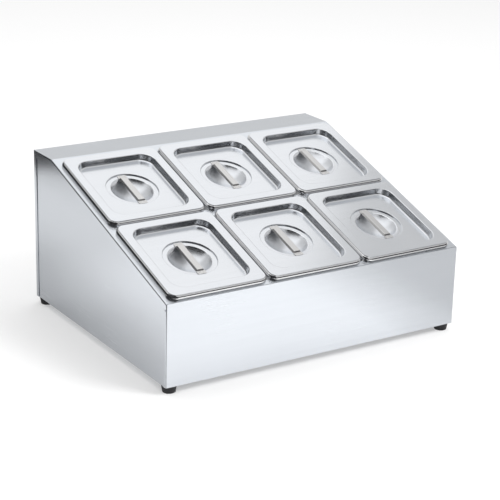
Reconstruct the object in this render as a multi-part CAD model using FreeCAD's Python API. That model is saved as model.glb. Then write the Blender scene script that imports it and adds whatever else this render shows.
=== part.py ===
import FreeCAD, Part
import math
import os

os.makedirs("parts", exist_ok=True)
Vec = FreeCAD.Vector

# Gastronorm pan of sixth size: outer size of the rim, depth, sheet and rim
pan_width = 162.0
pan_length = 176.0
pan_depth = 100.0
pan_sheet = 0.8
rim_height = 6.5
rim_flange = 10.5
rim_corner = 14.0
rim_bend = 5.0
mouth_bend = 3.0
tub_corner = 25.0
tub_draft = 4.0
tub_floor_bend = 12.0

# Lid that lies on the rim
lid_edge_inset = 2.5
lid_sheet = 0.8
lid_corner = 11.5
lid_border = 14.0
lid_edge_bend = 0.5
recess_depth = 10.0
recess_draft = 12.0
recess_corner = 21.0
recess_top_bend = 1.6
recess_bend = 3.0
ring_radius = 40.0
ring_step = 2.0
ring_bend = 1.0
bowl_radius = 32.5
bowl_depth = 15.0
bowl_bend = 2.5

# Strap handle in the lid
handle_width = 14.0
handle_sheet = 1.0
handle_rise = 3.0
handle_flank = 2.0
handle_bend = 1.0
handle_tab = 6.5
handle_end_round = 2.0
handle_clearance = 0.8
weld_mark_radius = 2.5
weld_mark_depth = 0.4
weld_mark_spread = 3.2

# Layout of the pans on the deck
column_names = ["left", "middle", "right"]
row_names = ["front", "rear"]
column_gap = 3.0
row_gap = 5.0
side_margin = 8.0
front_margin = 4.0
rear_margin = 11.0
rim_seat = 6.5

# Stand
sheet = 1.0
slope = 18.0
front_height = 124.0
shelf_depth = 62.0
side_flange = 10.0
flange_end_round = 2.5
deck_bend = 4.0
edge_bend = 2.0
opening_return = 12.0
opening_corner = 10.0
front_return = 8.0
rear_return = 9.0
rear_seam = 1.6
foot_flange = 30.0
bottom_return = 18.0
panel_gap = 0.5

# Bar between the rows
bar_height = 12.0

# Feet and their fasteners
foot_height = 11.5
foot_top_radius = 11.4
foot_bottom_radius = 9.4
foot_inset = 12.5
foot_edge_round = 1.0
foot_pocket_radius = 4.4
foot_pocket_depth = 5.0
screw_radius = 2.0
screw_clearance = 0.3
screw_head_radius = 3.6
screw_head_height = 2.4
screw_head_round = 0.8
screw_slot_width = 0.8
screw_slot_depth = 1.0
screw_spare = 2.0
washer_radius = 4.5
washer_thickness = 0.8
nut_across_flats = 7.0
nut_height = 3.2
thread_clearance = 0.1

# Sizes that follow from the layout
columns = len(column_names)
rows = len(row_names)
width = columns * pan_width + (columns - 1) * column_gap + 2 * side_margin
deck_length = rows * pan_length + (rows - 1) * row_gap + front_margin + rear_margin
slope_rad = math.radians(slope)
depth = deck_length * math.cos(slope_rad) + shelf_depth
half_width = width / 2
front_y = -depth / 2
rear_y = depth / 2
base_z = foot_height
deck_front_z = base_z + front_height
shelf_z = deck_front_z + deck_length * math.sin(slope_rad)
bend_y = rear_y - shelf_depth

# Frame of the deck: X across, Y up the slope from its front edge, Z square to it
deck_frame = FreeCAD.Placement(Vec(0, front_y, deck_front_z), FreeCAD.Rotation(Vec(1, 0, 0), slope))

# Two places closer than this are the same place
same_place = 0.05


def save(name, shape):
    """Write one node as a STEP file."""
    shape.exportStep("parts/" + name + ".step")


def box(x_span, y_span, z_span):
    """Box between the two limits on each axis."""
    low = Vec(x_span[0], y_span[0], z_span[0])
    return Part.makeBox(x_span[1] - x_span[0], y_span[1] - y_span[0], z_span[1] - z_span[0], low)


def rounded_block(size_x, size_y, corner, z_low, z_high):
    """Upright block with rounded corners, centred on the Z axis."""
    block = box((-size_x / 2, size_x / 2), (-size_y / 2, size_y / 2), (z_low, z_high))
    uprights = [edge for edge in block.Edges if edge.BoundBox.ZLength > (z_high - z_low) / 2]
    return block.makeFillet(corner, uprights)


def level_edges(shape, z, half_x, half_y):
    """Edges that lie at height z inside a rectangle about the Z axis."""
    found = []
    for edge in shape.Edges:
        limits = edge.BoundBox
        level = abs(limits.ZMin - z) < same_place and abs(limits.ZMax - z) < same_place
        inside = max(-limits.XMin, limits.XMax) < half_x and max(-limits.YMin, limits.YMax) < half_y
        if level and inside:
            found.append(edge)
    return found


def tapered_tub(size_x, size_y, corner, draft, z_top, z_floor, floor_bend, rise):
    """Solid that fills a tub: its size is given at z_top, and its leaning walls go on above by the rise."""
    lean = math.tan(math.radians(draft))
    top_x = size_x / 2 + rise * lean
    top_y = size_y / 2 + rise * lean
    floor_x = size_x / 2 - (z_top - z_floor) * lean
    floor_y = size_y / 2 - (z_top - z_floor) * lean
    wedge = Part.makeWedge(-floor_x, z_floor, -floor_y, -top_y, -top_x,
                           floor_x, z_top + rise, floor_y, top_y, top_x)
    wedge.rotate(Vec(0, 0, 0), Vec(1, 0, 0), 90)
    half_height = (z_top + rise - z_floor) / 2
    uprights = [edge for edge in wedge.Edges if edge.BoundBox.ZLength > half_height]
    tub = wedge.makeFillet(corner, uprights)
    return tub.makeFillet(floor_bend, level_edges(tub, z_floor, size_x, size_y))


def make_pan():
    """Deep-drawn pan: the rim's turned-down lip stands on Z zero."""
    flange_under = rim_height - pan_sheet
    floor_z = rim_height - pan_depth + pan_sheet
    mouth_x = pan_width - 2 * rim_flange
    mouth_y = pan_length - 2 * rim_flange
    rim = rounded_block(pan_width, pan_length, rim_corner, 0, rim_height)
    rim = rim.makeFillet(rim_bend, level_edges(rim, rim_height, pan_width, pan_length))
    under = rounded_block(pan_width - 2 * pan_sheet, pan_length - 2 * pan_sheet, rim_corner - pan_sheet,
                          -pan_sheet, flange_under)
    under = under.makeFillet(rim_bend - pan_sheet, level_edges(under, flange_under, pan_width, pan_length))
    outside = tapered_tub(mouth_x + 2 * pan_sheet, mouth_y + 2 * pan_sheet, tub_corner + pan_sheet, tub_draft,
                          flange_under, floor_z - pan_sheet, tub_floor_bend + pan_sheet, pan_sheet / 2)
    inside = tapered_tub(mouth_x, mouth_y, tub_corner, tub_draft,
                         rim_height, floor_z, tub_floor_bend, pan_sheet)
    pan = rim.cut(under).fuse(outside)
    neck_x = mouth_x / 2 + rim_flange / 2
    neck_y = mouth_y / 2 + rim_flange / 2
    pan = pan.makeFillet(mouth_bend - pan_sheet, level_edges(pan, flange_under, neck_x, neck_y))
    pan = pan.cut(inside)
    return pan.makeFillet(mouth_bend, level_edges(pan, rim_height, neck_x, neck_y))


lid_width = pan_width - 2 * lid_edge_inset
lid_length = pan_length - 2 * lid_edge_inset
panel_z = lid_sheet - recess_depth
shoulder_z = panel_z - ring_step
bowl_sphere = (bowl_radius ** 2 + bowl_depth ** 2) / (2 * bowl_depth)
bowl_centre_z = shoulder_z - bowl_depth + bowl_sphere


def lid_plug(growth):
    """Hollow above the lid's upper skin inside the border, grown outward to shape the lid's underside."""
    recess_x = lid_width - 2 * lid_border + 2 * growth
    recess_y = lid_length - 2 * lid_border + 2 * growth
    recess = tapered_tub(recess_x, recess_y, recess_corner + growth, recess_draft, lid_sheet - growth,
                         panel_z - growth, recess_bend + growth, lid_sheet / 2)
    ring = Part.makeCylinder(ring_radius + growth, ring_step + recess_bend, Vec(0, 0, shoulder_z - growth))
    bowl = Part.makeSphere(bowl_sphere + growth, Vec(0, 0, bowl_centre_z))
    half = bowl_sphere + growth
    bowl_top = shoulder_z + ring_bend - growth
    bowl = bowl.common(box((-half, half), (-half, half), (bowl_centre_z - half, bowl_top)))
    plug = recess.fuse([ring, bowl])
    bowl_rim = bowl_radius + bowl_bend
    shoulder_edges = level_edges(plug, shoulder_z - growth, bowl_rim, bowl_rim)
    plug = plug.makeFillet(bowl_bend - growth, shoulder_edges)
    panel_edges = level_edges(plug, panel_z - growth, ring_radius + ring_bend, ring_radius + ring_bend)
    return plug.makeFillet(ring_bend - growth / 2, panel_edges)


def make_lid():
    """Pressed lid: the border lies on Z zero, the recess, ring and bowl hang below it."""
    border = rounded_block(lid_width, lid_length, lid_corner, 0, lid_sheet)
    border = border.makeFillet(lid_edge_bend, level_edges(border, lid_sheet, lid_width, lid_length))
    lid = border.fuse(lid_plug(lid_sheet))
    neck_x = lid_width / 2 - lid_border / 2
    neck_y = lid_length / 2 - lid_border / 2
    lid = lid.makeFillet(recess_top_bend - lid_sheet, level_edges(lid, 0, neck_x, neck_y))
    lid = lid.cut(lid_plug(0))
    return lid.makeFillet(recess_top_bend, level_edges(lid, lid_sheet, neck_x, neck_y))


def flanked_block(half_x, half_y, height, flank):
    """Block on Z zero whose four sides lean in by the flank at the top."""
    block = Part.makeWedge(-half_x, 0, -half_y, flank - half_y, flank - half_x,
                           half_x, height, half_y, half_y - flank, half_x - flank)
    block.rotate(Vec(0, 0, 0), Vec(1, 0, 0), 90)
    return block


def make_handle():
    """Pressed strap across the bowl: a shallow channel, spot welded by its flat tabs to the shoulder."""
    reach = ring_radius - ring_bend - handle_clearance
    span = reach - handle_tab
    hollow_span = span - handle_sheet
    half_strap = handle_width / 2
    hollow_rise = handle_rise - handle_sheet
    channel = flanked_block(half_strap, span, handle_rise, handle_flank)
    upper_edges = [edge for edge in channel.Edges if edge.BoundBox.ZMax > handle_rise / 2]
    channel = channel.makeFillet(handle_bend, upper_edges)
    hollow = flanked_block(half_strap - handle_sheet, hollow_span, hollow_rise,
                           handle_flank * hollow_rise / handle_rise)
    strip = rounded_block(handle_width, 2 * reach, handle_end_round, 0, handle_sheet)
    window = box((-handle_width, handle_width), (-hollow_span, hollow_span), (-handle_sheet, handle_rise))
    strap = channel.cut(hollow).fuse(strip.cut(window)).removeSplitter()
    weld_z = handle_sheet + weld_mark_radius - weld_mark_depth
    weld_y = reach - handle_tab / 2
    welds = [Part.makeSphere(weld_mark_radius, Vec(x, y, weld_z))
             for x in (-weld_mark_spread, weld_mark_spread) for y in (-weld_y, weld_y)]
    strap = strap.cut(welds)
    strap.translate(Vec(0, 0, shoulder_z))
    return strap


def deck_line(drop, front_end, rear_end):
    """Edges of the deck's line at a depth below its top, from the front, up the slope, to the rear."""
    along = Vec(0, math.cos(slope_rad), math.sin(slope_rad))
    square = Vec(0, -math.sin(slope_rad), math.cos(slope_rad))
    halfway = Vec(0, -math.sin(slope_rad / 2), math.cos(slope_rad / 2))
    corner = Vec(0, bend_y, shelf_z) - halfway * (drop / math.cos(slope_rad / 2))
    start = corner - along * ((corner.y - front_end) / along.y)
    finish = Vec(0, rear_end, corner.z)
    if drop >= deck_bend:
        return [Part.LineSegment(start, corner).toShape(), Part.LineSegment(corner, finish).toShape()]
    radius = deck_bend - drop
    tangent = radius * math.tan(slope_rad / 2)
    slope_end = corner - along * tangent
    shelf_start = corner + Vec(0, tangent, 0)
    arc_middle = slope_end - square * radius + halfway * radius
    return [Part.LineSegment(start, slope_end).toShape(),
            Part.Arc(slope_end, arc_middle, shelf_start).toShape(),
            Part.LineSegment(shelf_start, finish).toShape()]


def side_prism(upper, lower, x_low, x_high):
    """Solid between two runs of edges in the side view, both listed from front to rear."""
    front_end = Part.LineSegment(lower[0].Vertexes[0].Point, upper[0].Vertexes[0].Point).toShape()
    rear_end = Part.LineSegment(lower[-1].Vertexes[-1].Point, upper[-1].Vertexes[-1].Point).toShape()
    outline = Part.Wire(Part.__sortEdges__(upper + [rear_end] + lower + [front_end]))
    face = Part.Face(outline)
    face.translate(Vec(x_low, 0, 0))
    return face.extrude(Vec(x_high - x_low, 0, 0))


def deck_band(top_drop, low_drop, x_low, x_high, front_end, rear_end):
    """Solid between two depths below the deck's top."""
    upper = deck_line(top_drop, front_end, rear_end)
    lower = deck_line(low_drop, front_end, rear_end)
    return side_prism(upper, lower, x_low, x_high)


def on_deck(shape, x, run):
    """Set a shape made about the Z axis on the deck, at x and at a run up the slope."""
    placed = shape.copy()
    place = FreeCAD.Placement(Vec(x, run, 0), FreeCAD.Rotation())
    placed.Placement = deck_frame.multiply(place).multiply(shape.Placement)
    return placed


opening_x = width - 2 * (side_margin + rim_seat)
opening_run = deck_length - front_margin - rear_margin - 2 * rim_seat
opening_middle = front_margin + rim_seat + opening_run / 2
inner_x = half_width - sheet
flange_x = inner_x - sheet - panel_gap
turned_x = flange_x - foot_flange


def mitre_wedge(x_low, x_high):
    """Space below the mitre between the shelf's side flange and the rear panel's return."""
    low_z = shelf_z - 2 * side_flange
    points = [Vec(x_low, rear_y, shelf_z), Vec(x_low, rear_y - rear_return, shelf_z - side_flange),
              Vec(x_low, rear_y - rear_return, low_z), Vec(x_low, rear_y, low_z)]
    face = Part.Face(Part.makePolygon(points + points[:1]))
    return face.extrude(Vec(x_high - x_low, 0, 0))


def along_top_side(edge):
    """True for the long edges where the deck's top turns down into its side flanges."""
    at_side = abs(abs(edge.BoundBox.XMin) - half_width) < same_place and edge.BoundBox.XLength < same_place
    middle = edge.valueAt((edge.FirstParameter + edge.LastParameter) / 2)
    on_slope = deck_front_z + (middle.y - front_y) * math.tan(slope_rad)
    return at_side and abs(middle.z - min(on_slope, shelf_z)) < sheet / 2


def along_flange_end(edge):
    """True for the lower front edge of the block that the deck's flanges are cut from."""
    limits = edge.BoundBox
    low = limits.ZMax < deck_front_z - side_flange / 2
    return low and limits.XLength > half_width and abs(limits.YMax - front_y - sheet) < same_place


def make_deck():
    """Bent sheet: shelf, slope with one cut-out, side flanges outside and end flanges inside the panels."""
    front_end = front_y + sheet
    rear_end = rear_y - sheet
    block = deck_band(0, side_flange, -half_width, half_width, front_end, rear_end)
    block = block.makeFillet(edge_bend, [edge for edge in block.Edges if along_top_side(edge)])
    block = block.makeFillet(flange_end_round, [edge for edge in block.Edges if along_flange_end(edge)])
    inside = deck_band(sheet, side_flange + sheet, -inner_x, inner_x, front_y, rear_y)
    deck = block.cut(inside)
    front_flange = box((-flange_x, flange_x), (front_end, front_end + sheet),
                       (deck_front_z - side_flange, deck_front_z - sheet / 2))
    rear_flange = box((-flange_x, flange_x), (rear_end - sheet, rear_end),
                      (shelf_z - side_flange, shelf_z - sheet / 2))
    collar = rounded_block(opening_x + 2 * sheet, opening_run + 2 * sheet, opening_corner + sheet,
                           -opening_return, -sheet / 2)
    hole = rounded_block(opening_x, opening_run, opening_corner, -2 * opening_return, opening_return)
    deck = deck.fuse([front_flange, rear_flange, on_deck(collar, 0, opening_middle)])
    deck = deck.cut([on_deck(hole, 0, opening_middle), mitre_wedge(-half_width, -inner_x),
                     mitre_wedge(inner_x, half_width)])
    return deck.removeSplitter()


def bend_uprights(panel, y):
    """Round the two upright corners of a panel at its outer face y."""
    uprights = []
    for edge in panel.Edges:
        limits = edge.BoundBox
        on_face = abs(limits.YMin - y) < same_place and abs(limits.YMax - y) < same_place
        at_side = abs(abs(limits.XMin) - half_width) < same_place
        if on_face and at_side and limits.ZLength > front_height / 2:
            uprights.append(edge)
    return panel.makeFillet(edge_bend, uprights)


def make_front_panel():
    """Front sheet: returns wrap the side panels below the deck's flange, and the bottom edge turns in."""
    plate = box((-half_width, half_width), (front_y, front_y + sheet), (base_z, deck_front_z))
    above = deck_band(-front_height, side_flange + panel_gap, -half_width, half_width,
                      front_y + sheet, rear_y)
    returns = []
    for side in (-1, 1):
        span = sorted((side * inner_x, side * half_width))
        strip = box(span, (front_y, front_y + front_return), (base_z, deck_front_z))
        returns.append(strip.cut(above))
    bottom = box((-turned_x, turned_x), (front_y, front_y + bottom_return), (base_z, base_z + sheet))
    return bend_uprights(plate.fuse(returns + [bottom]).removeSplitter(), front_y)


def make_rear_panel():
    """Rear sheet: returns wrap the side panels and are mitred to the shelf's flange at the top."""
    plate = box((-half_width, half_width), (rear_y - sheet, rear_y), (base_z, shelf_z))
    returns = []
    for side in (-1, 1):
        span = sorted((side * inner_x, side * half_width))
        strip = box(span, (rear_y - rear_return, rear_y), (base_z, shelf_z - side_flange))
        corner = mitre_wedge(*span)
        corner.translate(Vec(0, 0, -panel_gap))
        returns += [strip, corner]
    bottom = box((-turned_x, turned_x), (rear_y - bottom_return, rear_y), (base_z, base_z + sheet))
    return bend_uprights(plate.fuse(returns + [bottom]).removeSplitter(), rear_y)


def foot_places():
    """Name and place of each foot."""
    for row, y in (("front", front_y + foot_inset), ("rear", rear_y - foot_inset)):
        for column, x in (("left", foot_inset - half_width), ("right", half_width - foot_inset)):
            yield "foot_" + row + "_" + column, Vec(x, y, 0)


def make_side_panel(side):
    """Side sheet inside the flanges of the other sheets: its bottom edge turns in to carry two feet.

    An open seam runs up it in front of the rear panel's return.
    """
    front_end = front_y + sheet
    rear_end = rear_y - sheet
    outer = side * inner_x
    inner = side * (inner_x - sheet)
    turned = side * (inner_x - sheet - foot_flange)
    floor = Part.LineSegment(Vec(0, front_end, base_z), Vec(0, rear_end, base_z)).toShape()
    plate = side_prism(deck_line(sheet + panel_gap, front_end, rear_end), [floor], *sorted((inner, outer)))
    bottom = box(sorted((turned, outer)), (front_end, rear_end), (base_z, base_z + sheet))
    holes = [Part.makeCylinder(screw_radius + screw_clearance, 3 * sheet, place + Vec(0, 0, base_z - sheet))
             for name, place in foot_places()]
    seam_y = rear_y - rear_return
    seam = box(sorted((inner, outer)), (seam_y - rear_seam, seam_y), (base_z + sheet, shelf_z - side_flange))
    return plate.fuse(bottom).cut(holes + [seam]).removeSplitter()


def make_cross_bar():
    """Inverted channel across the cut-out, flush with the deck, that carries the facing rims of both rows."""
    bar_width = row_gap + 2 * rim_seat
    half_bar = bar_width / 2
    bar = box((-opening_x / 2, opening_x / 2), (-half_bar, half_bar), (-bar_height, 0))
    top_edges = [edge for edge in level_edges(bar, 0, width, width) if edge.BoundBox.YLength < same_place]
    bar = bar.makeFillet(edge_bend, top_edges)
    return bar.cut(box((-width, width), (sheet - half_bar, half_bar - sheet), (-2 * bar_height, -sheet)))


def make_foot():
    """Tapered rubber foot with a pocket for the screw's head."""
    foot = Part.makeCone(foot_bottom_radius, foot_top_radius, foot_height)
    foot = foot.makeFillet(foot_edge_round, level_edges(foot, 0, foot_top_radius, foot_top_radius))
    pocket = Part.makeCylinder(foot_pocket_radius, foot_pocket_depth)
    hole = Part.makeCylinder(screw_radius + screw_clearance, foot_height)
    return foot.cut([pocket, hole])


def make_screw():
    """Pan-head screw, head down in the foot's pocket."""
    tip_z = base_z + sheet + washer_thickness + nut_height + screw_spare
    head_z = foot_pocket_depth - screw_head_height
    head = Part.makeCylinder(screw_head_radius, screw_head_height, Vec(0, 0, head_z))
    head = head.makeFillet(screw_head_round, level_edges(head, head_z, foot_top_radius, foot_top_radius))
    shank = Part.makeCylinder(screw_radius, tip_z - foot_pocket_depth, Vec(0, 0, foot_pocket_depth))
    slot = box((-foot_top_radius, foot_top_radius), (-screw_slot_width / 2, screw_slot_width / 2),
               (0, head_z + screw_slot_depth))
    return head.fuse(shank).cut(slot)


def make_washer():
    """Plain washer on top of the side panel's turned edge."""
    low = Vec(0, 0, base_z + sheet)
    disc = Part.makeCylinder(washer_radius, washer_thickness, low)
    return disc.cut(Part.makeCylinder(screw_radius + screw_clearance, washer_thickness, low))


def make_nut():
    """Hexagon nut on the washer."""
    low_z = base_z + sheet + washer_thickness
    corner_radius = nut_across_flats / 2 / math.cos(math.pi / 6)
    turns = [k * math.pi / 3 for k in range(6)]
    corners = [Vec(corner_radius * math.cos(turn), corner_radius * math.sin(turn), low_z) for turn in turns]
    hexagon = Part.Face(Part.makePolygon(corners + corners[:1])).extrude(Vec(0, 0, nut_height))
    return hexagon.cut(Part.makeCylinder(screw_radius + thread_clearance, nut_height, Vec(0, 0, low_z)))


def at_each_foot(shape):
    """One copy of a fastener at every foot, as separate solids."""
    copies = []
    for name, place in foot_places():
        copy = shape.copy()
        copy.translate(place)
        copies.append(copy)
    return Part.makeCompound(copies)


# Stand
save("deck", make_deck())
save("front_panel", make_front_panel())
save("rear_panel", make_rear_panel())
save("side_panel_left", make_side_panel(-1))
save("side_panel_right", make_side_panel(1))
bar_run = front_margin + pan_length + row_gap / 2
save("cross_bar", on_deck(make_cross_bar(), 0, bar_run))

# Feet and fasteners
foot = make_foot()
for name, place in foot_places():
    placed = foot.copy()
    placed.translate(place)
    save(name, placed)
save("foot_screws", at_each_foot(make_screw()))
save("foot_washers", at_each_foot(make_washer()))
save("foot_nuts", at_each_foot(make_nut()))

# Pans, lids and handles
pan = make_pan()
lid = make_lid()
lid.translate(Vec(0, 0, rim_height))
handle = make_handle()
handle.translate(Vec(0, 0, rim_height))
for row in range(rows):
    run = front_margin + pan_length / 2 + row * (pan_length + row_gap)
    for column in range(columns):
        x = (column - (columns - 1) / 2) * (pan_width + column_gap)
        place = "_" + row_names[row] + "_" + column_names[column]
        save("pan" + place, on_deck(pan, x, run))
        save("lid" + place, on_deck(lid, x, run))
        save("handle" + place, on_deck(handle, x, run))
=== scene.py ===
import math
import bpy
from mathutils import Matrix, Vector


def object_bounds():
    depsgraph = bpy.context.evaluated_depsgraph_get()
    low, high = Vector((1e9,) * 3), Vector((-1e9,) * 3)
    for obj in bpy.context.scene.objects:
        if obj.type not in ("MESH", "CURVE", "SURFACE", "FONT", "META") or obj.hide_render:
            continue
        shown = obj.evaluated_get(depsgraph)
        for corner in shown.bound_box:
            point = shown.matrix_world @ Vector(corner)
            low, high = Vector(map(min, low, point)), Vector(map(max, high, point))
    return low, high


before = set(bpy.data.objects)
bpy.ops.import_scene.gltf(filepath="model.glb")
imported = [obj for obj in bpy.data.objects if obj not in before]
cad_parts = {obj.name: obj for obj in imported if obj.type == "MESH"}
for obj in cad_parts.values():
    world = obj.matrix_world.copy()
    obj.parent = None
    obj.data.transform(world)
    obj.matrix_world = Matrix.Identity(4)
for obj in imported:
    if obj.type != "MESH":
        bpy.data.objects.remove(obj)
cad_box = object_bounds()


# Side panels, front panel and rear panel
# Stainless sheet about 1 mm thick, sheared, bent and spot welded into an open-bottomed stand.
# The mill's satin grain runs along each sheet, and handling leaves faint cloudy patches in it.
class Wire:
    """One socket of a finish. Arithmetic on it adds Math nodes to the finish."""

    def __init__(self, tree, socket):
        self.tree = tree
        self.socket = socket

    def node(self, kind, settings, sockets, out=0):
        """Add a node: its settings are set first, then the values or links of its sockets."""
        made = self.tree.nodes.new("ShaderNode" + kind)
        for name, value in settings.items():
            if name == "stops":
                for stop, (position, colour) in zip(made.color_ramp.elements, value):
                    stop.position = position
                    stop.color = (*colour, 1)
            else:
                setattr(made, name, value)
        for name, value in sockets.items():
            if isinstance(value, Wire):
                self.tree.links.new(value.socket, made.inputs[name])
            else:
                made.inputs[name].default_value = value
        return Wire(self.tree, made.outputs[out])

    def maths(self, operation, first, second):
        """Add a Math node that works on two values."""
        return self.node("Math", {"operation": operation}, {0: first, 1: second})

    def __add__(self, other):
        return self.maths("ADD", self, other)

    def __radd__(self, other):
        return self.maths("ADD", other, self)

    def __sub__(self, other):
        return self.maths("SUBTRACT", self, other)

    def __rsub__(self, other):
        return self.maths("SUBTRACT", other, self)

    def __mul__(self, other):
        return self.maths("MULTIPLY", self, other)

    def __rmul__(self, other):
        return self.maths("MULTIPLY", other, self)

    def stretched(self, scale):
        """Coordinates multiplied along each axis."""
        return self.node("VectorMath", {"operation": "MULTIPLY"}, {0: self, 1: scale})

    def noise(self, detail=2.0):
        """Noise between 0 and 1, one cell to a unit of the coordinates."""
        return self.node("TexNoise", {}, {"Vector": self, "Scale": 1.0, "Detail": detail})

    def blend(self, dark, light):
        """Colour between two colours, by this value. A Mix node has its colours at sockets 6 and 7."""
        sockets = {0: self, 6: (*dark, 1), 7: (*light, 1)}
        return self.node("Mix", {"data_type": "RGBA"}, sockets, out=2)

    def within(self, low, high):
        """0 up to the low value, 1 from the high value, even between them."""
        return self.node("MapRange", {}, {"Value": self, "From Min": low, "From Max": high})

    def slope(self, distance):
        """Surface normal of a relief with this value as its height, full height in metres."""
        return self.node("Bump", {}, {"Height": self, "Distance": distance, "Strength": 1.0})


def new_finish(name):
    """Material with one shader, the shader, and the piece's own coordinates in metres."""
    material = bpy.data.materials.new(name)
    material.use_nodes = True
    tree = material.node_tree
    shader = tree.nodes["Principled BSDF"]
    place = Wire(tree, None).node("TexCoord", {}, {}, out="Object")
    return material, shader, place


def feed(place, shader, **sockets):
    """Link values to the shader's sockets."""
    for name, value in sockets.items():
        place.tree.links.new(value.socket, shader.inputs[name.replace("_", " ")])


NOISE_MIDDLE = 0.5
STREAK_COARSER = 9
CLOUD_SCALE = (9.0, 9.0, 9.0)
CLOUD_DETAIL = 3.0
HAIR_TONE = 0.3
STREAK_TONE = 0.3
CLOUD_TONE = 0.4
HAIR_GLOSS = 0.10
CLOUD_GLOSS = 0.12
HAIR_HEIGHT = 0.5
STREAK_HEIGHT = 0.5


def brushed_steel(name, dark, light, grain, roughness, relief, duller=None):
    """Satin stainless: fine grain drawn out along the sheet, over faint cloudy patches.

    Where given, the last argument is called to make a part of the sheet duller.
    """
    material, shader, place = new_finish(name)
    shader.inputs["Metallic"].default_value = 1.0
    hair = place.stretched(grain).noise()
    streak = place.stretched([value / STREAK_COARSER for value in grain]).noise()
    cloud = place.stretched(CLOUD_SCALE).noise(CLOUD_DETAIL)
    tone = HAIR_TONE * hair + STREAK_TONE * streak + CLOUD_TONE * cloud
    gloss = roughness + HAIR_GLOSS * (hair - NOISE_MIDDLE) + CLOUD_GLOSS * (cloud - NOISE_MIDDLE)
    if duller:
        gloss = gloss + duller(place)
    height = HAIR_HEIGHT * hair + STREAK_HEIGHT * streak
    feed(place, shader, Base_Color=tone.blend(dark, light), Roughness=gloss, Normal=height.slope(relief))
    return material


def finish_node(node, material):
    """Give a CAD node its finish."""
    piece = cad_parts[node]
    piece.data.materials.clear()
    piece.data.materials.append(material)


STAND_DARK = (0.685, 0.715, 0.755)
STAND_LIGHT = (0.825, 0.855, 0.90)
STAND_ROUGHNESS = 0.24
STAND_RELIEF = 0.000004
GRAIN_ACROSS = 1700.0
GRAIN_ALONG = 9.0
along_x = brushed_steel("stand_steel_along_x", STAND_DARK, STAND_LIGHT,
                        (GRAIN_ALONG, GRAIN_ACROSS, GRAIN_ACROSS), STAND_ROUGHNESS, STAND_RELIEF)
along_y = brushed_steel("stand_steel_along_y", STAND_DARK, STAND_LIGHT,
                        (GRAIN_ACROSS, GRAIN_ALONG, GRAIN_ACROSS), STAND_ROUGHNESS, STAND_RELIEF)
for panel in ("side_panel_left", "side_panel_right"):
    finish_node(panel, along_y)
for panel in ("front_panel", "rear_panel"):
    finish_node(panel, along_x)

# Deck and cross bar
# One bent sheet makes the sloped deck, the shelf behind it and the flanges that lap the sides.
# A folded bar welded across its cut-out carries the facing rims of the two rows of pans.
for sheet in ("deck", "cross_bar"):
    finish_node(sheet, along_x)

# Feet and their fasteners
# Moulded black rubber feet, each held up under the side panel's turned edge by a plated screw,
# a washer and a nut.
RUBBER_DARK = (0.006, 0.006, 0.008)
RUBBER_LIGHT = (0.022, 0.022, 0.025)
RUBBER_ROUGHNESS = 0.45
DUST_SCALE = (160.0, 160.0, 160.0)
DUST_DETAIL = 4.0
DUST_DULLER = 0.25
PORE_SCALE = (2600.0, 2600.0, 2600.0)
PORE_DEPTH = 0.00006


def moulded_rubber():
    """Matt black rubber with a fine moulded texture and a little dust."""
    material, shader, place = new_finish("foot_rubber")
    pores = place.stretched(PORE_SCALE).noise()
    dust = place.stretched(DUST_SCALE).noise(DUST_DETAIL)
    feed(place, shader, Base_Color=dust.blend(RUBBER_DARK, RUBBER_LIGHT),
         Roughness=RUBBER_ROUGHNESS + DUST_DULLER * dust, Normal=pores.slope(PORE_DEPTH))
    return material


rubber = moulded_rubber()
for row in ("front", "rear"):
    for side in ("left", "right"):
        finish_node("foot_" + row + "_" + side, rubber)

PLATE_DARK = (0.50, 0.50, 0.50)
PLATE_LIGHT = (0.66, 0.66, 0.65)
plated = brushed_steel("fastener_steel", PLATE_DARK, PLATE_LIGHT,
                       grain=(900.0, 900.0, 900.0), roughness=0.32, relief=0.000006)
for fastener in ("foot_screws", "foot_washers", "foot_nuts"):
    finish_node(fastener, plated)

# Pans
# Deep-drawn stainless pans of the sixth gastronorm size, three across and two deep.
# Each hangs loose in the deck's cut-out by its turned-over rim, which drawing leaves bright.
PAN_DARK = (0.72, 0.725, 0.74)
PAN_LIGHT = (0.86, 0.865, 0.875)
drawn = brushed_steel("pan_steel", PAN_DARK, PAN_LIGHT,
                      grain=(500.0, 500.0, 40.0), roughness=0.12, relief=0.000002)
PLACES = [row + "_" + column for row in ("front", "rear") for column in ("left", "middle", "right")]
for spot in PLACES:
    finish_node("pan_" + spot, drawn)

# Lids
# Pressed from thin stainless sheet: a flat border, a recess, a ring and a bowl under the strap.
# Each lies loose on its pan's rim. The bowl is drawn deeper than the rest, which leaves it duller.
LID_DARK = (0.73, 0.75, 0.78)
LID_LIGHT = (0.86, 0.88, 0.915)
LID_MIDDLE = 0.5
BOWL_SHARE = 0.20
BOWL_EDGE = 0.01
BOWL_DULLER = 0.12


def bowl_duller(place):
    """Added roughness in the bowl, found by its share of the lid's width from the middle."""
    spread = place.node("TexCoord", {}, {}, out="Generated")
    x = spread.node("SeparateXYZ", {}, {0: spread}, out="X") - LID_MIDDLE
    y = spread.node("SeparateXYZ", {}, {0: spread}, out="Y") - LID_MIDDLE
    outside = (x * x + y * y).within((BOWL_SHARE - BOWL_EDGE) ** 2, (BOWL_SHARE + BOWL_EDGE) ** 2)
    return BOWL_DULLER * (1 - outside)


pressed = brushed_steel("lid_steel", LID_DARK, LID_LIGHT, grain=(30.0, 1500.0, 1500.0),
                        roughness=0.20, relief=0.0000015, duller=bowl_duller)
for spot in PLACES:
    finish_node("lid_" + spot, pressed)

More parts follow.
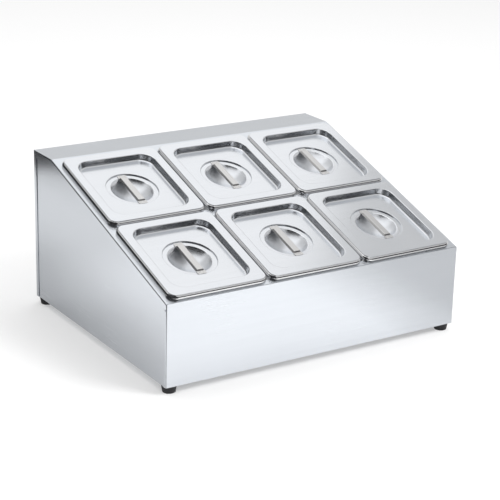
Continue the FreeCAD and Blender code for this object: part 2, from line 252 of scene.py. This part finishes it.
# Strap handles
# A stainless strap pressed to shape, across the bowl of each lid, a little warmer than the lid.
# It is spot welded at both ends on the ring's shoulder.
STRAP_DARK = (0.62, 0.615, 0.61)
STRAP_LIGHT = (0.77, 0.765, 0.76)
strap = brushed_steel("handle_steel", STRAP_DARK, STRAP_LIGHT,
                      grain=(1600.0, 40.0, 40.0), roughness=0.30, relief=0.000003)
for spot in PLACES:
    finish_node("handle_" + spot, strap)

# Studio
# A white table under a wide overhead lamp, with a key lamp at the front right and a soft box over the
# back right. Black screens about the front and left, a white card overhead and a sheet of painted shadow on
# the table are seen only in the metal, where they draw its dark and bright edges.
scene = bpy.context.scene
scene.view_settings.view_transform = "Standard"
FLOOR_SIZE = 40.0
FLOOR_WHITE = (0.92, 0.92, 0.92)
FLOOR_SHOWN = 0.32


def stage_sheet(name, corners, faces, material):
    """Thin sheet of the studio, which is no part of the stand."""
    mesh = bpy.data.meshes.new(name)
    mesh.from_pydata(corners, [], faces)
    mesh.materials.append(material)
    made = bpy.data.objects.new(name, mesh)
    scene.collection.objects.link(made)
    return made


def flat_sheet(name, width, depth, material):
    """Flat sheet of the studio, about the origin."""
    x = width / 2
    y = depth / 2
    corners = [(-x, -y, 0), (x, -y, 0), (x, y, 0), (-x, y, 0)]
    return stage_sheet(name, corners, [(0, 1, 2, 3)], material)


def show_mix(material, place, factor, first, second):
    """Make a mix of two shaders the material's surface."""
    tree = material.node_tree
    mixed = place.node("MixShader", {}, {0: factor, 1: first, 2: second})
    tree.links.new(mixed.socket, tree.nodes["Material Output"].inputs["Surface"])


def white_floor():
    """Matt white; what the camera and the metal see is lifted towards white and keeps the shadow."""
    material, shader, place = new_finish("floor_white")
    shader.inputs["Base Color"].default_value = (*FLOOR_WHITE, 1)
    shader.inputs["Roughness"].default_value = 1.0
    shader.inputs["Specular IOR Level"].default_value = 0.0
    camera_ray = place.node("LightPath", {}, {}, out="Is Camera Ray")
    glossy_ray = place.node("LightPath", {}, {}, out="Is Glossy Ray")
    clear_ray = place.node("LightPath", {}, {}, out="Is Transmission Ray")
    mirrored = place.maths("MAXIMUM", glossy_ray, clear_ray)
    seen = place.maths("MAXIMUM", mirrored, camera_ray)
    glow = place.node("Emission", {}, {"Color": (1, 1, 1, 1), "Strength": 1.0})
    show_mix(material, place, FLOOR_SHOWN * seen, Wire(place.tree, shader.outputs[0]), glow)
    return material


flat_sheet("floor", FLOOR_SIZE, FLOOR_SIZE, white_floor())

ROOM_LOW = 0.72
ROOM_HIGH = 0.62
ROOM_TOP = 0.8
world = bpy.data.worlds.new("room")
scene.world = world
world.use_nodes = True
sky = Wire(world.node_tree, None).node("TexCoord", {}, {}, out="Generated")
height = sky.node("SeparateXYZ", {}, {0: sky}, out="Z")
greys = [(0.0, (ROOM_LOW,) * 3), (ROOM_TOP, (ROOM_HIGH,) * 3)]
room = height.node("ValToRGB", {"stops": greys}, {0: height})
world.node_tree.links.new(room.socket, world.node_tree.nodes["Background"].inputs["Color"])


def facing(place, target):
    """Placement at a point with the minus Z axis turned to a target."""
    return Matrix.Translation(place) @ (target - place).to_track_quat("-Z", "Y").to_matrix().to_4x4()


def soft_box(name, place, target, size, brightness, in_metal):
    """Square lamp of an even brightness, turned to a target."""
    lamp = bpy.data.lights.new(name, "AREA")
    lamp.size = size
    lamp.energy = brightness * math.pi * size ** 2
    made = bpy.data.objects.new(name, lamp)
    made.matrix_world = facing(Vector(place), Vector(target))
    made.visible_camera = False
    made.visible_glossy = in_metal
    scene.collection.objects.link(made)


soft_box("overhead_lamp", place=(0, 0.4, 4.0), target=(0, 0.4, 0), size=6.0, brightness=0.9, in_metal=False)
soft_box("key_lamp", place=(0.9, -1.6, 1.9), target=(-0.2, -0.35, 0), size=0.8, brightness=15.0,
         in_metal=False)
soft_box("back_soft_box", place=(0.75, 1.375, 2.12), target=(0, 0, 0.12), size=1.75, brightness=0.42,
         in_metal=True)


def seen_in_metal_only(card):
    """Hide a card from the camera, from the floor's light and from the shadows."""
    card.visible_camera = False
    card.visible_diffuse = False
    card.visible_shadow = False


CARD_BLACK = (0.02, 0.02, 0.022, 1)
SCREEN_STEPS = 32
NEAR = 0.62
FAR = 4.0


def matt_black(name):
    """Matt black card, its shader and its coordinates."""
    material, shader, place = new_finish(name)
    shader.inputs["Base Color"].default_value = CARD_BLACK
    shader.inputs["Roughness"].default_value = 1.0
    return material, shader, place


def curved_screen(name, radius, turns, heights):
    """Upright black screen about the stand, between two turns in degrees from its front and two heights."""
    corners = []
    for step in range(SCREEN_STEPS + 1):
        turn = math.radians(turns[0] + (turns[1] - turns[0]) * step / SCREEN_STEPS)
        for edge in heights:
            corners.append((-radius * math.sin(turn), -radius * math.cos(turn), edge))
    faces = [(2 * step, 2 * step + 2, 2 * step + 3, 2 * step + 1) for step in range(SCREEN_STEPS)]
    seen_in_metal_only(stage_sheet(name, corners, faces, matt_black(name)[0]))


curved_screen("front_screen", NEAR, turns=(-60, 10), heights=(0.09, 0.27))
curved_screen("left_screen", NEAR, turns=(10, 90), heights=(0.0, 1.05))
curved_screen("back_left_screen", NEAR, turns=(90, 155), heights=(0.13, 0.57))
curved_screen("far_screen", FAR, turns=(-75, 10), heights=(0.0, 1.6))

CARD_WIDTH = 2.6
CARD_DEPTH = 2.8
CARD_PLACE = (-0.7, -0.6, 2.4)
CARD_BRIGHTNESS = 1.1


def overhead_card():
    """White card over the front left of the stand: the rims, rings and bends shine with it."""
    material, shader = new_finish("overhead_card")[:2]
    shader.inputs["Emission Color"].default_value = (1, 1, 1, 1)
    shader.inputs["Emission Strength"].default_value = CARD_BRIGHTNESS
    shader.inputs["Base Color"].default_value = CARD_BLACK
    card = flat_sheet("overhead_card", CARD_WIDTH, CARD_DEPTH, material)
    card.matrix_world = Matrix.Translation(CARD_PLACE)
    seen_in_metal_only(card)


overhead_card()

# Painted shadow in the metal's reflection of the table: how dark the sheet is beside, behind and to the
# right of the stand and off its front left corner.
HALF_WIDTH = cad_box[1][0]
HALF_DEPTH = cad_box[1][1]
SHEET_SIZE = 2.0
SHEET_LIFT = 0.001
SHADE_EDGE = 0.01
SHADE_REACH = 0.20
SHADE_FRONT = 0.25
SHADE_BACK = 0.55
SHADE_BEHIND = 0.22
BEHIND_FROM = 0.20
BEHIND_TO = 0.40
SHADE_RIGHT = 0.45
RIGHT_FROM = 0.16
RIGHT_TO = 0.33
SHADE_CORNER = 0.45


def painted_shadow_sheet():
    """Painted shadow seen only in the metal: a sheet on the table, darker beside and behind the stand, to
    its right and off its front left corner.
    """
    material, shader, place = matt_black("painted_shadow_sheet")
    x = place.node("SeparateXYZ", {}, {0: place}, out="X")
    y = place.node("SeparateXYZ", {}, {0: place}, out="Y")
    out_left = 0 - x - HALF_WIDTH
    depth = SHADE_FRONT + (SHADE_BACK - SHADE_FRONT) * y.within(-HALF_DEPTH, HALF_DEPTH)
    left_light = 1 - depth * (1 - out_left.within(0.0, SHADE_REACH)) * out_left.within(-SHADE_EDGE, 0.0)
    behind_light = 1 - SHADE_BEHIND * y.within(BEHIND_FROM, BEHIND_TO)
    right_light = 1 - SHADE_RIGHT * x.within(RIGHT_FROM, RIGHT_TO)
    past_left = (0 - x).within(HALF_WIDTH, HALF_WIDTH + SHADE_EDGE)
    past_front = (0 - y).within(HALF_DEPTH, HALF_DEPTH + SHADE_EDGE)
    corner_light = 1 - SHADE_CORNER * (past_left * past_front)
    shade = 1 - left_light * behind_light * right_light * corner_light
    clear = place.node("BsdfTransparent", {}, {})
    show_mix(material, place, shade, clear, Wire(place.tree, shader.outputs[0]))
    sheet = flat_sheet("painted_shadow_sheet", SHEET_SIZE, SHEET_SIZE, material)
    sheet.matrix_world = Matrix.Translation((0, 0, SHEET_LIFT))
    seen_in_metal_only(sheet)


painted_shadow_sheet()

# Camera
# A long lens from the front left, a little above the deck, as in the photograph.
# Its angles, distance and lens were fitted to the stand's corners and the lids' edges.
AZIMUTH = math.radians(-32.90)
ELEVATION = math.radians(19.12)
ROLL = math.radians(1.48)
DISTANCE = 2.432
LENS = 114.0
TARGET = Vector((0, -0.0208, 0.1151))
back = Vector((math.sin(AZIMUTH) * math.cos(ELEVATION),
               -math.cos(AZIMUTH) * math.cos(ELEVATION),
               math.sin(ELEVATION)))
level = Vector((0, 0, 1)).cross(back).normalized()
upright = back.cross(level)
camera_x = level * math.cos(ROLL) + upright * math.sin(ROLL)
camera_y = upright * math.cos(ROLL) - level * math.sin(ROLL)
camera = bpy.data.objects.new("camera", bpy.data.cameras.new("camera"))
camera.data.lens = LENS
camera.matrix_world = (Matrix.Translation(TARGET + back * DISTANCE)
                       @ Matrix((camera_x, camera_y, back)).transposed().to_4x4())
scene.collection.objects.link(camera)
scene.camera = camera
